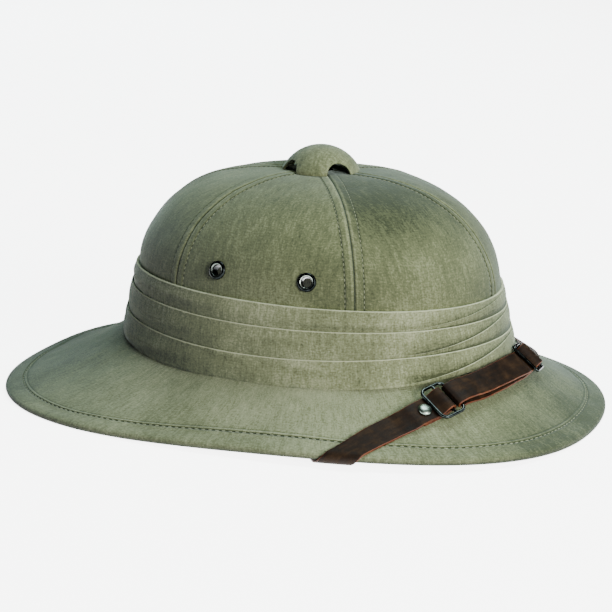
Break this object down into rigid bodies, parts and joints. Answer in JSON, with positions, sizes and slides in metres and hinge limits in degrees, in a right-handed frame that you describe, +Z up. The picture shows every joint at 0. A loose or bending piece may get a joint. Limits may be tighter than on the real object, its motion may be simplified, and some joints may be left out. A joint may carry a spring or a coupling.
{
  "type": "pith helmet",
  "caption": "Cloth-covered pith helmet with a hollow domed crown, flared brim, folded band, vent cap, side eyelets and a leather chin strap worn up over the front.",
  "frame": {"origin": "on the surface that the rim rests on, under the middle of the hat's bounding box", "axes": "+X towards the front of the hat, +Y towards the wearer's left, +Z up"},
  "size_m": [0.3607, 0.278, 0.1541],
  "materials": {
    "crown_cloth": "washed olive canvas, matt",
    "brim_cloth": "washed olive canvas, matt",
    "band_cloth": "pale olive folded cloth, matt",
    "strap_leather": "dark brown, smooth, with red-brown cut edges",
    "dark_metal": "gunmetal, slightly glossy",
    "rivet_metal": "dull steel"
  },
  "bodies": {
    "root": {"crown_left_front": "crown_cloth", "crown_left_side": "crown_cloth", "crown_left_back": "crown_cloth", "crown_right_back": "crown_cloth", "crown_right_side": "crown_cloth", "crown_right_front": "crown_cloth", "brim_front": "brim_cloth", "brim_left_front": "brim_cloth", "brim_left_back": "brim_cloth", "brim_back": "brim_cloth", "brim_right_back": "brim_cloth", "brim_right_front": "brim_cloth", "puggaree": "band_cloth", "vent_cap": "crown_cloth", "vent_post": "dark_metal", "eyelet_near_front": "dark_metal", "eyelet_near_back": "dark_metal", "eyelet_far_front": "dark_metal", "eyelet_far_back": "dark_metal", "strap_short": "strap_leather", "strap_long": "strap_leather", "strap_rivet": "rivet_metal", "strap_ring": "dark_metal", "strap_slide": "dark_metal", "stud_near": "dark_metal", "stud_far": "dark_metal"}
  },
  "joints": []
}
